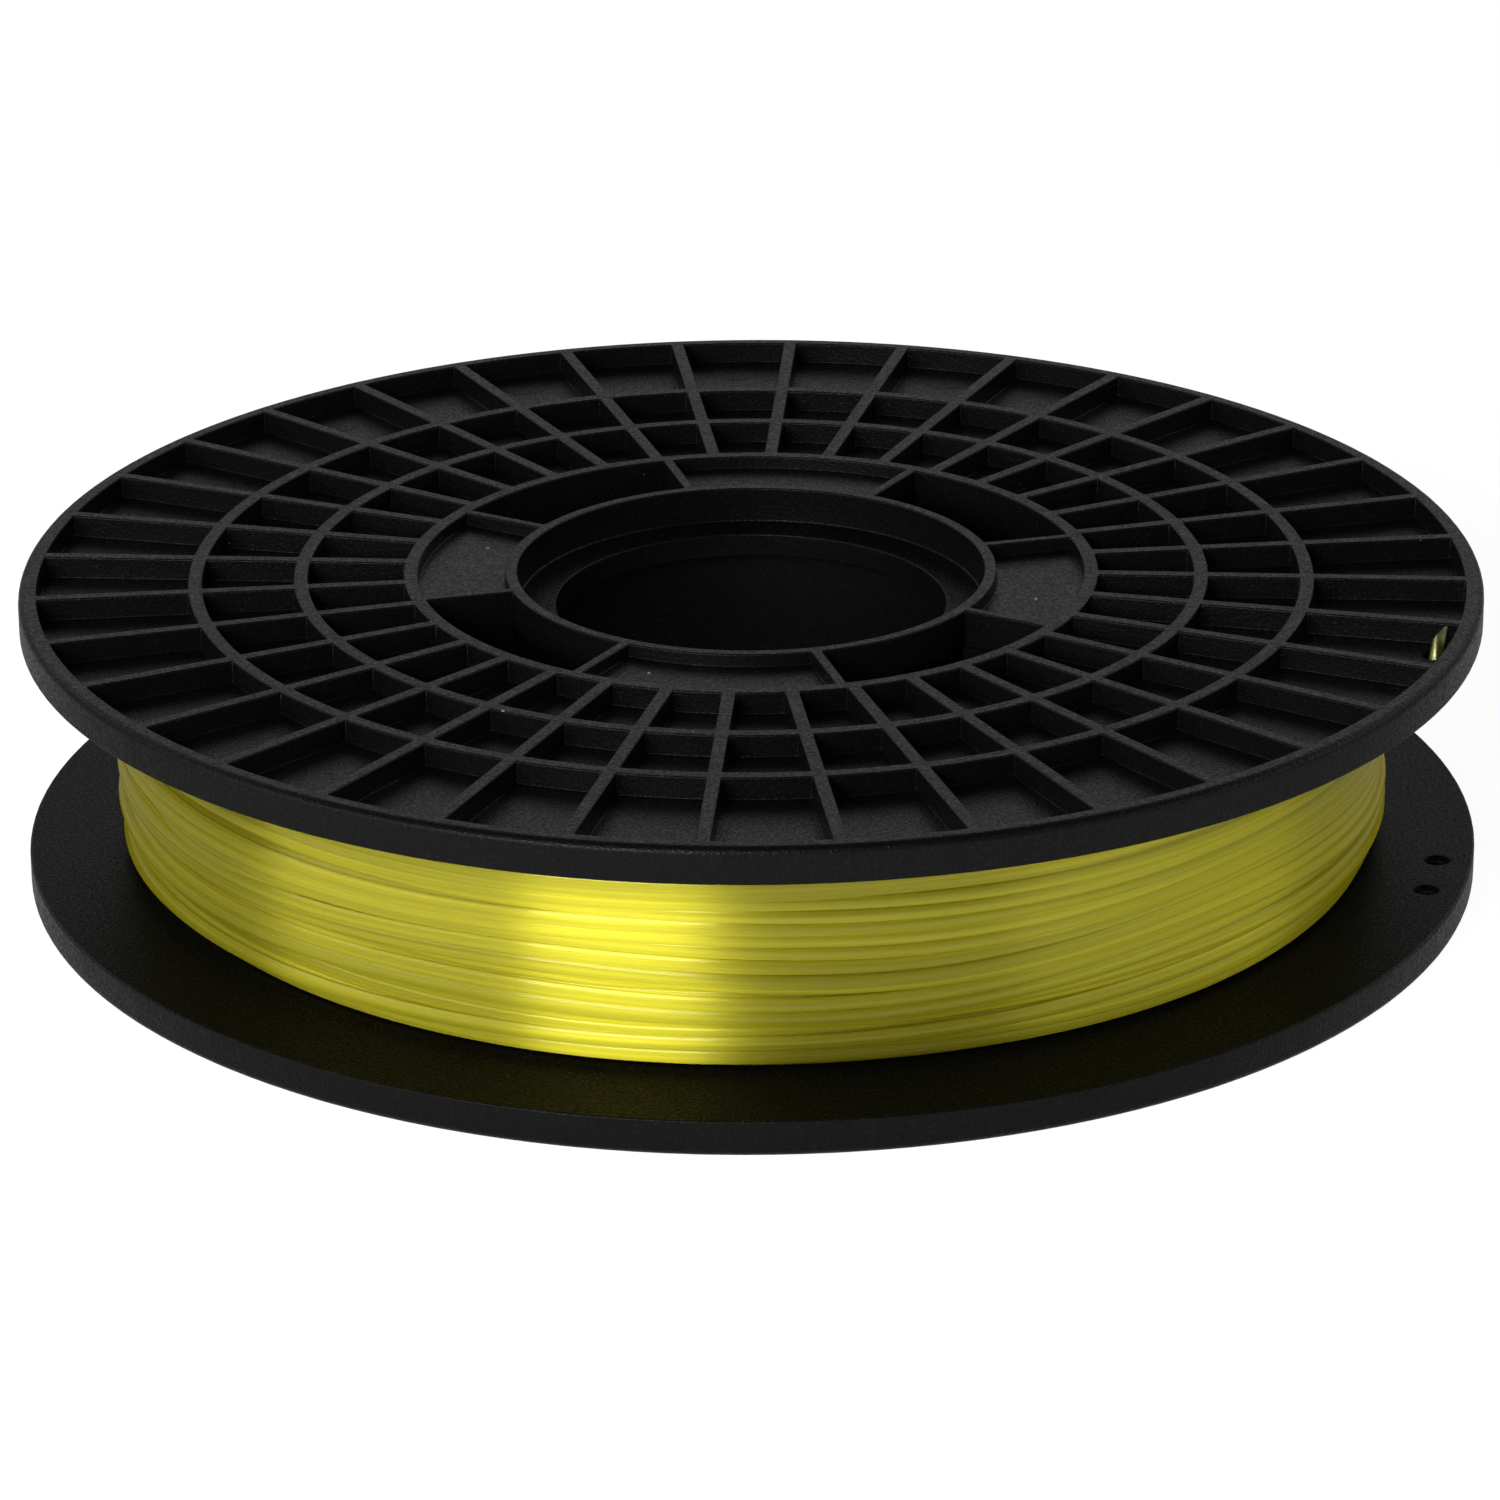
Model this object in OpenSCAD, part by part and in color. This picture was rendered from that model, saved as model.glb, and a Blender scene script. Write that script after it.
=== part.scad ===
// String reel: two ribbed flanges on a hollow barrel, wound with stiff round string.
// Millimetres. The reel's axis is Z and the lower flange stands on z = 0.

/* [Reel] */
// Diameter of each flange
flange_d = 200; // [190:1:240]
// Height over both flanges
reel_h = 42; // [38:0.5:80]
// Height of a flange at its rim
flange_t = 5; // [4:0.1:7]
// Thickness of a flange's plate, which faces the string
plate_t = 2; // [1.2:0.1:3]
// Radius of the rounded edge round each outer face
edge_r = 0.8; // [0.2:0.1:1.5]

/* [Rings and ribs] */
// Width of the rim's wall
rim_w = 2.8; // [2:0.1:3]
// Middle diameter of the outer ring
outer_ring_d = 152; // [140:0.5:170]
// Middle diameter of the inner ring
inner_ring_d = 123.2; // [108:0.1:130]
// Width of the rings
ring_w = 2.1; // [1.2:0.1:3]
// Number of radial ribs
rib_count = 36; // [12:1:48]
// Width of the ribs
rib_w = 1.9; // [1.2:0.1:2.6]
// Angle of the first rib
rib_turn = 6.4; // [0:0.1:10]

/* [Hub] */
// Outer diameter of the barrel, which carries the string
barrel_d = 94; // [88:0.5:100]
// Wall of the barrel
barrel_wall = 2; // [1.5:0.1:3]
// Diameter of the bore for the spindle
bore_d = 53.5; // [48:0.1:56]
// Diameter of the round recess in front of the bore
recess_d = 64; // [62:0.1:68]
// Depth of that recess
recess_h = 5; // [3:0.1:8]
// Wall of the collar round the recess
collar_w = 1.7; // [1.2:0.1:3]
// Thickness of the recess's floor where it rests on the barrel's tube
web_t = 1.8; // [1.2:0.1:3]
// Height of the step that centres a flange in the barrel's tube
step_h = 1.5; // [1:0.1:4]
// Clearance round that step
step_gap = 0.2; // [0.1:0.05:0.4]
// Wall of the barrel's tube
tube_wall = 2; // [1.5:0.1:2.5]
// Number of dividers from the collar to the hub ring, always even
divider_count = 8; // [4:2:12]
// Width of the dividers
divider_w = 1.8; // [1.2:0.1:3]
// Angle of the first divider
divider_turn = 14.9; // [0:0.1:45]
// How far the barrel's walls show past the flange's edges round a window
ledge_w = 0.6; // [0.2:0.1:1]

/* [String] */
// Diameter of the string
string_d = 1.75; // [1.2:0.05:2.2]
// Distance from a flange's edge in to the wound string
wound_inset = 12.5; // [10:0.5:25]
// Least gap between two turns of the outer layer
turn_gap = 0.42; // [0.42:0.01:2]
// Clearance between the string and the reel
string_gap = 0.3; // [0.2:0.05:0.6]
// Radius of the bend where the string's end turns up
bend_r = 4; // [3:0.5:6]
// Lean of the string's end from upright
end_lean = 28; // [15:1:30]
// How far the string's end stops below the flange's outer face
end_sink = 0.4; // [0.4:0.1:2]

/* [String holes] */
// Diameter of the holes that hold the string's end
hole_d = 3.6; // [3.4:0.1:4]
// Distance from a flange's edge to the middle of its holes
hole_inset = 4.8; // [4.7:0.1:6]
// Distance between the two holes of a flange
hole_step = 10.6; // [9:0.1:12]

/* [Hidden] */
$fn = 96;

reel_black = "#2b2a2a";
string_yellow = "#c9c436";

// Flange, with its outer face at z = 0
flange_r = flange_d/2;
rib_h = flange_t - plate_t;
rim_r = flange_r - rim_w;
barrel_r = barrel_d/2;
window_r = barrel_r - barrel_wall + ledge_w;
hub_ring_r = window_r + ring_w;
collar_r = recess_d/2 + collar_w;
tube_r = collar_r - tube_wall;
cup_r = collar_r - step_gap;
cup_h = recess_h + web_t;
edge_steps = 6;
rib_start = window_r + ring_w/2;
rib_end = rim_r + rim_w/2;

// Barrel
barrel_h = reel_h - 2*flange_t;
seat_r = collar_r + step_gap;

// Holes for the string's end, one on each side of the second rib before the first
hole_ring_r = flange_r - hole_inset;
hole_mid_turn = rib_turn - 2*360/rib_count;
hole_half_turn = asin(hole_step/2/hole_ring_r);
hole_turns = [hole_mid_turn + hole_half_turn, hole_mid_turn - hole_half_turn];

// Outer layer of the string: 24 rings to a turn, 6 sides
turn_rings = 24;
string_sides = 6;
wound_r = flange_r - wound_inset - string_d/2;
core_r = wound_r*cos(180/turn_rings) - string_d/2 - string_gap;
plate_z = reel_h - flange_t;
first_z = flange_t + string_gap + string_d/2;
bend_room = 2.6;
last_z = plate_z - bend_room;
turn_count = floor((last_z - first_z)/(string_d + turn_gap));
pitch = (last_z - first_z)/turn_count;

// The string's end leaves the layer on a tangent, runs under the plate and bends up through a hole
exit_turn = hole_turns[1] - acos(wound_r/hole_ring_r);
reach = sqrt(hole_ring_r*hole_ring_r - wound_r*wound_r);
bend_top = [reach - (plate_t/2 + string_gap)*tan(end_lean), plate_z - string_gap];
bend_mid = bend_top + bend_r*[-cos(end_lean), sin(end_lean)];
bend_steps = 8;
tip_z = reel_h - end_sink;
tip = [reach + (tip_z - plate_z - plate_t/2)*tan(end_lean), tip_z];

function polar(r, turn, z) = [r*cos(turn), r*sin(turn), z];

// A point of the string's end, from its distance along the tangent and its height
function end_point(p) =
    polar(wound_r, exit_turn, p[1]) + p[0]*[-sin(exit_turn), cos(exit_turn), 0];

ring_total = turn_count*turn_rings;
layer_points = [for (i = [0:ring_total])
    polar(wound_r, exit_turn - 360*(ring_total - i)/turn_rings, first_z + pitch*i/turn_rings)];
bend_points = [for (i = [0:bend_steps])
    let (slope = (90 - end_lean)*i/bend_steps)
    end_point(bend_mid + bend_r*[sin(slope), -cos(slope)])];
start_point = layer_points[0] + string_d*[sin(exit_turn), -cos(exit_turn), 0];
string_points = concat([start_point], layer_points, bend_points,
    [end_point(tip - string_d*[sin(end_lean), cos(end_lean)]), end_point(tip)]);

// Least distance between points of the string that lie half a turn or more apart along it
function least_gap(p, apart) = min([for (i = [0:len(p) - 1 - apart], j = [i + apart:len(p) - 1])
    norm(p[i] - p[j])]) - string_d;

function unit(v) = v/norm(v);

function heading(p, i) = unit(p[min(i + 1, len(p) - 1)] - p[max(i - 1, 0)]);

// One ring of a tube at point i of a path, with flat sides above and below
function tube_ring(p, i, d, sides) =
    let (ahead = heading(p, i), side = unit(cross(ahead, [0, 0, 1])), up = cross(side, ahead))
    [for (k = [0:sides - 1]) p[i] + d/2*(cos(360*k/sides)*side + sin(360*k/sides)*up)];

// An unbroken tube along a path, with closed ends and triangular faces
module tube(p, d, sides) {
    rings = len(p);
    points = [for (i = [0:rings - 1]) each tube_ring(p, i, d, sides)];
    walls = [for (i = [0:rings - 2], k = [0:sides - 1])
        let (a = i*sides + k, b = i*sides + (k + 1)%sides)
        each [[a, a + sides, b], [b, a + sides, b + sides]]];
    caps = [for (k = [1:sides - 2])
        each [[0, k, k + 1], [(rings - 1)*sides, (rings - 1)*sides + k + 1, (rings - 1)*sides + k]]];
    polyhedron(points = points, faces = concat(walls, caps), convexity = 10);
}

// Middle direction of the space after divider i
function sector_turn(i) = divider_turn + 360*(i + 0.5)/divider_count;

// Cross-section of a raised ring between two radii, as a step of the flange's profile
function ring_profile(inner, outer) = [[inner, rib_h], [inner, 0], [outer, 0], [outer, rib_h]];

// Everything of a flange that is round: bore, recess, plate, rings and rim
module flange_round() {
    edge = [for (i = [0:edge_steps])
        [flange_r - edge_r + edge_r*sin(90*i/edge_steps), edge_r - edge_r*cos(90*i/edge_steps)]];
    rotate_extrude()
        polygon(concat(
            [[bore_d/2, recess_h], [recess_d/2, recess_h], [recess_d/2, 0],
             [hub_ring_r, 0], [hub_ring_r, rib_h]],
            ring_profile(inner_ring_d/2 - ring_w/2, inner_ring_d/2 + ring_w/2),
            ring_profile(outer_ring_d/2 - ring_w/2, outer_ring_d/2 + ring_w/2),
            [[rim_r, rib_h], [rim_r, 0]],
            edge,
            [[flange_r, flange_t], [cup_r, flange_t], [cup_r, cup_h],
             [tube_r - step_gap, cup_h], [tube_r - step_gap, cup_h + step_h],
             [bore_d/2, cup_h + step_h]]));
}

// A rib from the hub ring to the rim, sunk halfway into the plate
module rib(turn) {
    rotate([0, 0, turn])
        translate([rib_start, -rib_w/2, 0])
            cube([rib_end - rib_start, rib_w, rib_h + plate_t/2]);
}

// The outline of the space between two radial walls, round the direction turn
module sector(turn, inner, outer, wall) {
    half = 180/divider_count;
    intersection() {
        difference() {
            circle(r = outer);
            circle(r = inner);
        }
        rotate(turn)
            translate([wall/2/sin(half), 0])
                polygon([[0, 0], flange_r*[cos(half), -sin(half)], flange_r*[cos(half), sin(half)]]);
    }
}

// A flange with its outer face down, at z = 0
module flange() {
    difference() {
        // Pockets and windows of the hub are cut between the collar and the hub ring
        union() {
            flange_round();
            for (i = [0:rib_count - 1])
                rib(rib_turn + 360*i/rib_count);
        }
        for (i = [0:divider_count - 1])
            translate([0, 0, -1])
                linear_extrude(i%2 == 0 ? flange_t + 2 : rib_h + 1)
                    sector(sector_turn(i), collar_r, window_r, divider_w);
        for (turn = hole_turns)
            translate(polar(hole_ring_r, turn, -1))
                cylinder(d = hole_d, h = flange_t + 2);
    }
}

module lower_flange() {
    color(reel_black)
        flange();
}

// The upper flange mirrors the lower one, so that windows and holes line up
module upper_flange() {
    color(reel_black)
        translate([0, 0, reel_h])
            mirror([0, 0, 1])
                flange();
}

// Barrel and inner tube joined by radial walls, open from end to end
module hub_barrel() {
    color(reel_black)
        translate([0, 0, flange_t])
            difference() {
                cylinder(r = barrel_r, h = barrel_h);
                translate([0, 0, -1])
                    cylinder(r = tube_r, h = barrel_h + 2);
                for (z = [-1, barrel_h - (cup_h - flange_t)])
                    translate([0, 0, z])
                        cylinder(r = seat_r, h = cup_h - flange_t + 1);
                for (i = [0:divider_count - 1])
                    translate([0, 0, -1])
                        linear_extrude(barrel_h + 2)
                            sector(sector_turn(i), collar_r, barrel_r - barrel_wall, divider_w + 2*ledge_w);
            }
}

// The inner layers of the string, as one plain ring
module string_core() {
    color(string_yellow)
        translate([0, 0, flange_t + string_gap])
            difference() {
                cylinder(r = core_r, h = barrel_h - 2*string_gap);
                translate([0, 0, -1])
                    cylinder(r = barrel_r + string_gap, h = barrel_h + 2);
            }
}

// The outer layer of the string and its end, one unbroken tube
module string_turns() {
    echo(turns = turn_count, pitch = pitch, least_gap = least_gap(string_points, turn_rings/2));
    color(string_yellow)
        tube(string_points, string_d, string_sides);
}

lower_flange();
hub_barrel();
upper_flange();
string_core();
string_turns();
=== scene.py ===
"""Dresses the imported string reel: flanges with rounded ribs, a hollow barrel and the wound string.

All lengths are metres in the part's own frame: the reel's axis is Z and it stands on z = 0.
"""

import math

import bmesh
import bpy
import numpy as np
from bpy.props import FloatProperty, FloatVectorProperty, IntProperty, PointerProperty
from mathutils import Matrix, Vector


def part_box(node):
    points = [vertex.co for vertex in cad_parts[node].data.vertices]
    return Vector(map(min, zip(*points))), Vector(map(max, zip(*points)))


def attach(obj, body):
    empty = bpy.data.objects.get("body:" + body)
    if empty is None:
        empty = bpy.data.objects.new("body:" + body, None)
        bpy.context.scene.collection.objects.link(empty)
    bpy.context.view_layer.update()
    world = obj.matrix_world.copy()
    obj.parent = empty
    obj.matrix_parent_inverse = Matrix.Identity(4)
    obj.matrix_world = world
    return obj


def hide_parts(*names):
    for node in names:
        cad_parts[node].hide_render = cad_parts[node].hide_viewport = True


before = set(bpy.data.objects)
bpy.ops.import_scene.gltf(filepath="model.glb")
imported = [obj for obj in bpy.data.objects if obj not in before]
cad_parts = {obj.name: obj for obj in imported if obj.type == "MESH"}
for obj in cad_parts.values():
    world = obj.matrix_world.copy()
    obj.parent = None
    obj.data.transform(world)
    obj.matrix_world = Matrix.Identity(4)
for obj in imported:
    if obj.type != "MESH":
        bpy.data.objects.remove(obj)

bl_info = {
    "name": "String reel",
    "version": (1, 0, 0),
    "blender": (4, 5, 0),
    "location": "3D View > Sidebar > Reel",
    "description": "Builds a ribbed reel wound with round string",
    "category": "Add Mesh",
}

MM = 0.001
FULL_TURN = 2*math.pi
FLANGE_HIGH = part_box("lower_flange")[1]
REEL_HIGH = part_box("upper_flange")[1]
BARREL_LOW, BARREL_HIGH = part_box("hub_barrel")

FILLET = 0.3*MM  # radius of the small rounded corners under the rim and in the recess
SEAM_GAP = 0.2*MM  # between the ribs' grid and the hub's, bridged by triangles
SAME_PLACE = 1e-7  # points that lie closer than this are one
SINK = 0.05*MM  # how far a mark or speck reaches into the plastic below it
INNER_SHINE = 0.035  # specular level of the flanges' inner sides
BARREL_GAP = 0.3*MM  # between the barrel and the innermost layer
BEND_ROOM = 2.6*MM  # below the upper flange, where the string bends up to its hole
END_GAP = 0.3*MM  # between the free end's bend and the flange
END_SINK = 0.5*MM  # from the outer face down to the middle of the free end's cut
END_SLANT = 1.8  # how far the cut's long side stands out, in radii of the string
PAINTED_SHADE_END = 12*MM  # length at the free end where its grey painted shade is mixed in
AIM_HEIGHT = 20*MM  # height of the reel's middle, to which the lights are turned


def length(name, description, default, least=0.0):
    """A length that the user can set, in metres."""
    return FloatProperty(
        name=name, description=description, default=default, min=least,
        unit="LENGTH", subtype="DISTANCE", precision=5)


def angle(name, description, degrees):
    """An angle that the user can set, shown in degrees."""
    return FloatProperty(
        name=name, description=description, default=math.radians(degrees),
        unit="ROTATION", subtype="ANGLE")


def colour(name, description, default):
    """A colour that the user can set, as linear red, green and blue."""
    return FloatVectorProperty(
        name=name, description=description, default=default, size=3,
        min=0.0, max=1.0, subtype="COLOR")


class ReelSizes(bpy.types.PropertyGroup):
    """Sizes of the two flanges."""

    flange_radius: length("Flange radius", "Radius of each flange", FLANGE_HIGH.x)
    height: length("Height", "Height over both flanges", REEL_HIGH.z)
    flange_thickness: length("Flange thickness", "Height of a flange at its rim", BARREL_LOW.z)
    rib_depth: length("Rib depth", "Depth of the pockets between ribs", 3*MM)
    rim_width: length("Rim width", "Width of the rim's wall", 2.5*MM)
    rim_round: length("Rim rounding", "Radius of the rounded edge round the outer face", 1.1*MM)
    ring_width: length("Ring width", "Width of the round ribs", 2.0*MM)
    outer_ring: length("Outer ring", "Middle radius of the outer ring", 76*MM)
    inner_ring: length("Inner ring", "Middle radius of the inner ring", 61.6*MM)
    window_radius: length("Window radius", "Outer radius of the hub's windows", 45.6*MM)
    collar_radius: length("Collar radius", "Outer radius of the collar", 33.7*MM)
    recess_radius: length("Recess radius", "Radius of the recess in the hub", 32*MM)
    bore_radius: length("Bore radius", "Radius of the bore for the spindle", 26.75*MM)
    recess_depth: length("Recess depth", "Depth of the recess", 5*MM)
    cup_radius: length("Cup radius", "Radius of the boss that sits in the barrel", 33.4*MM)
    cup_depth: length("Cup depth", "Depth of that boss below the outer face", 6.8*MM)
    step_radius: length("Step radius", "Radius of the step that centres the flange", 31.5*MM)
    step_depth: length("Step depth", "Depth of that step below the outer face", 8.3*MM)
    rib_count: IntProperty(name="Ribs", description="Number of straight ribs", default=36, min=6)
    rib_width: length("Rib width", "Width of the straight ribs", 1.9*MM)
    rib_turn: angle("Rib angle", "Angle of the first rib", 6.4)
    divider_count: IntProperty(name="Dividers", description="Number of hub dividers", default=8, min=2)
    divider_width: length("Divider width", "Width of the hub's dividers", 1.45*MM)
    hub_depth: length("Hub depth", "Depth of the closed pockets in the hub", 1.8*MM)
    divider_turn: angle("Divider angle", "Angle of the first divider", 14.9)
    edge_round: length("Edge rounding", "Radius along the top edges of ribs", 0.24*MM)
    foot_round: length("Foot rounding", "Radius where ribs meet the plate", 0.15*MM)
    draft: FloatProperty(
        name="Draft", description="Sideways lean of a wall for each unit of its depth",
        default=0.03, min=0.0, max=0.2)
    hole_radius: length("Hole radius", "Radius of the holes for the string's end", 1.8*MM)
    hole_circle: length("Hole circle", "Radius of the circle that the holes lie on", 95.2*MM)
    hole_step: length("Hole step", "Distance between the two holes", 10.6*MM)
    mark_circle: length("Mark circle", "Radius of the circle that the ejector marks lie on", 92.3*MM)
    mark_radius: length("Mark radius", "Radius of an ejector mark", 3.2*MM)
    mark_height: length("Mark height", "How far an ejector mark stands proud", 0.05*MM)


class StringSizes(bpy.types.PropertyGroup):
    """Sizes of the string and how it is laid."""

    thickness: length("Thickness", "Diameter of the string", 1.85*MM)
    give: length("Give", "How much closer than their thickness two crossing strings lie", 0.35*MM)
    wound_radius: length("Wound radius", "Radius to the middle of the outer layer", 86.1*MM)
    spacing: length("Spacing", "Distance between two turns that lie side by side", 1.63*MM)
    wander: length("Wander", "How far turns of a layer wander together", 0.7*MM)
    sway: length("Sway", "How far each turn sways by itself", 0.12*MM)
    slips: IntProperty(name="Slips", description="Places where a turn slips over others", default=14)
    bare: length("Bare height", "Height at the lower flange without the last layer", 3.2*MM)
    side_gap: length("Side gap", "Clearance between the string and a flange", 0.12*MM)
    end_lean: angle("End lean", "How far the free end leans along the turns", 12)
    end_bend: length("End bend", "Radius of the bend below the free end's hole", 2.9*MM)
    shared_light: FloatProperty(
        name="Shared light", description="How far the turns' shading leans outwards",
        default=0.6, min=0.0, max=0.9)
    rings: IntProperty(name="Rings", description="Rings of the mesh in one turn", default=200, min=24)
    sides: IntProperty(name="Sides", description="Sides of the string's section", default=12, min=5)
    seed: IntProperty(name="Lay", description="Changes how the turns wander", default=32)


class ReelColours(bpy.types.PropertyGroup):
    """Colours of the finishes."""

    plastic: colour("Plastic", "Moulded black plastic", (0.0030, 0.0029, 0.0029))
    # painted highlight: the paler colour painted on the grain's raised tops, as if they catch light
    plastic_grain_highlight: colour("Plastic, painted grain highlight", "Where the texture catches light", (0.010, 0.0096, 0.0093))
    string: colour("String", "Body of the string", (0.78, 0.70, 0.04))
    string_deep: colour("String, deep", "Thicker looking places of the string", (0.56, 0.52, 0.025))
    # painted shade on the free end, standing for the black plastic seen through the string
    string_end: colour("String, shaded end", "The string's free end", (0.50, 0.48, 0.19))
    floor: colour("Floor", "Floor below the reel", (0.82, 0.82, 0.82))


# ---------------------------------------------------------------- mesh helpers


def new_piece(name, points, faces, smooth=True):
    """An object at the origin whose mesh holds these points (rows of x, y, z) and faces."""
    mesh = bpy.data.meshes.new(name)
    mesh.from_pydata(points, [], faces)
    mesh.validate()
    if smooth:
        mesh.shade_smooth()
    piece = bpy.data.objects.new(name, mesh)
    bpy.context.scene.collection.objects.link(piece)
    return piece


def around(radii, angles, heights):
    """Points at polar positions: x = radius*cos(angle), y = radius*sin(angle), z = height."""
    radii, angles, heights = np.broadcast_arrays(radii, angles, heights)
    return np.stack([radii*np.cos(angles), radii*np.sin(angles), heights], axis=-1)


def grid_faces(rows, columns, first=0, closed_rows=False):
    """Four-sided faces of a grid whose columns close on themselves, as numbers of its points.

    Face (i, j) joins the points (i, j), (i + 1, j), (i + 1, j + 1) and (i, j + 1).
    """
    i = np.arange(rows if closed_rows else rows - 1)[:, None]
    j = np.arange(columns)[None, :]
    below, across = (i + 1) % rows, (j + 1) % columns
    corners = [i*columns + j, below*columns + j, below*columns + across, i*columns + across]
    return first + np.stack([np.broadcast_to(c, (len(i), columns)) for c in corners], axis=-1)


def joining_faces(angles_a, first_a, angles_b, first_b):
    """Triangles between two circles of points, with angles_a round one and angles_b round the other.

    Both lists rise and span less than a turn. Each edge of a circle takes the last point of the
    other circle that its end has passed, so the triangles alternate in the order of the angles.
    """
    def passed(angles, marks):
        return (np.searchsorted(angles, marks, side="right") - 1) % len(angles)

    base = angles_a[0]
    a = (angles_a - base) % FULL_TURN
    b = (angles_b - base) % FULL_TURN
    start = int(np.argmin(b))
    b = np.roll(b, -start)
    index_b = (np.arange(len(b)) + start) % len(b)
    next_a = (np.arange(len(a)) + 1) % len(a)
    next_b = (np.arange(len(b)) + 1) % len(b)
    apex_b = passed(b, np.append(a[1:], FULL_TURN))
    apex_a = passed(a, b)[next_b]
    index_a, index_b = first_a + np.arange(len(a)), first_b + index_b
    from_a = np.stack([index_a, index_b[apex_b], index_a[next_a]], axis=1)
    from_b = np.stack([index_a[apex_a], index_b, index_b[next_b]], axis=1)
    return np.concatenate([from_a, from_b])


def merge_points(piece):
    """Merges the points that coincide."""
    shape = bmesh.new()
    shape.from_mesh(piece.data)
    bmesh.ops.remove_doubles(shape, verts=shape.verts, dist=SAME_PLACE)
    shape.to_mesh(piece.data)
    shape.free()


def let_flat_faces_lead(piece):
    """Shades the piece smooth, with large flat faces keeping their own direction."""
    piece.data.shade_smooth()
    shading = piece.modifiers.new("Flat faces lead", "WEIGHTED_NORMAL")
    shading.weight = 50
    shading.keep_sharp = True


def apply_modifiers(piece):
    """Replaces the piece's mesh with the result of its modifiers."""
    graph = bpy.context.evaluated_depsgraph_get()
    mesh = bpy.data.meshes.new_from_object(piece.evaluated_get(graph))
    piece.modifiers.clear()
    piece.data = mesh


# ---------------------------------------------------------------- flange


def quarter_round(radius, steps=3):
    """Offsets along a quarter circle: the growing radius*(1 - cos(a)), and radius*(1 - sin(a))."""
    bend = np.linspace(0, math.pi/2, steps + 1)
    return radius*(1 - np.cos(bend)), radius*(1 - np.sin(bend))


def wall_section(s, depth):
    """Distances from a wall's top edge, and depths, of the lines along a moulded wall.

    A quarter circle turns down at its edge, the wall leans out by the draft times its depth, and
    another quarter circle turns into the floor.
    """
    edge_grows, edge_shrinks = quarter_round(s.edge_round)
    foot_grows, foot_shrinks = quarter_round(s.foot_round)
    away = np.concatenate([-edge_shrinks, s.draft*depth + foot_grows])
    down = np.concatenate([edge_grows, depth - foot_shrinks])
    return away, down


def across_pocket(start, end, away, between):
    """Radii of the lines across a pocket, from the wall at start to the wall at end."""
    first, last = start + away, end - away[::-1]
    return np.concatenate([first, np.linspace(first[-1], last[0], between + 2)[1:-1], last])


def mirrored_shares(share, between):
    """How deep each line across a pocket lies, as a share: down one wall, along, and up the other."""
    return np.concatenate([share, np.ones(between), share[::-1]])


def spoke_angles(radii, turn, count, half_width, away, between):
    """Angles of the lines along straight spokes, one row for each radius.

    A line that keeps a distance from a spoke's middle has the angle arcsin(distance/radius) from
    it, and the lines between two spokes divide what is left evenly.
    """
    step = FULL_TURN/count
    near = np.arcsin((half_width + away)[None, :]/radii[:, None])
    far = step - near[:, ::-1]
    share = np.arange(1, between + 1)/(between + 1)
    middle = near[:, -1:] + (far[:, :1] - near[:, -1:])*share
    cell = np.concatenate([np.zeros((len(radii), 1)), near, middle, far], axis=1)
    turns = turn + step*np.arange(count)
    return (turns[None, :, None] + cell[:, None, :]).reshape(len(radii), -1)


def rib_zone(s, seam):
    """Points of a flange from the hub ring's top out over the rim and back, and their first angles.

    The outer face lies at height 0 and the flange reaches down from it. The depth at a point is
    the pockets' depth times its share across the rings times its share across the ribs.
    """
    away, down = wall_section(s, s.rib_depth)
    share = down/s.rib_depth
    half = s.ring_width/2
    # inner radius, outer radius and lines between the walls of the three zones of pockets
    zones = [(s.window_radius + s.ring_width, s.inner_ring - half, 2),
             (s.inner_ring + half, s.outer_ring - half, 2),
             (s.outer_ring + half, s.flange_radius - s.rim_width, 5)]
    top_radii = np.concatenate([[seam]] + [across_pocket(a, b, away, n) for a, b, n in zones])
    top_across = np.concatenate([[0.0]] + [mirrored_shares(share, n) for _, _, n in zones])
    rim_grows, rim_shrinks = quarter_round(s.rim_round, steps=6)
    under_grows, under_shrinks = quarter_round(FILLET)
    # circles of points across the flat inner side
    flat_radii = np.append(np.array([96, 91, 88, 80, 64])*MM, seam)
    radii = np.concatenate([
        top_radii, s.flange_radius - rim_shrinks, s.flange_radius - under_grows, flat_radii])
    heights = np.concatenate([
        np.zeros(len(top_radii)), -rim_grows, -s.flange_thickness + under_shrinks,
        np.full(len(flat_radii), -s.flange_thickness)])
    across = np.append(top_across, np.zeros(len(radii) - len(top_across)))
    between = 3
    angles = spoke_angles(radii, s.rib_turn, s.rib_count, s.rib_width/2, away, between)
    along = np.tile(np.append(0.0, mirrored_shares(share, between)), s.rib_count)
    depth = s.rib_depth*across[:, None]*along[None, :]
    return around(radii[:, None], angles, heights[:, None] - depth), angles[0]


def boss_profile(s):
    """Radius and height of the circles round the boss under the hub, the bore and the recess."""
    edge_grows, edge_shrinks = quarter_round(s.edge_round)
    foot_grows, foot_shrinks = quarter_round(FILLET)
    boss = [(s.cup_radius, -s.flange_thickness), (s.cup_radius, -s.cup_depth),
            (s.step_radius, -s.cup_depth), (s.step_radius, -s.step_depth),
            (s.bore_radius + s.edge_round, -s.step_depth),
            (s.bore_radius, -s.step_depth + s.edge_round)]
    bore_top = np.stack([s.bore_radius + edge_grows, -s.recess_depth - edge_shrinks], axis=1)
    recess_foot = np.stack([s.recess_radius - foot_shrinks, -s.recess_depth + foot_grows], axis=1)
    recess_top = np.stack([s.recess_radius + edge_grows, -edge_shrinks], axis=1)
    return np.concatenate([boss, bore_top, recess_foot, recess_top])


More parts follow.
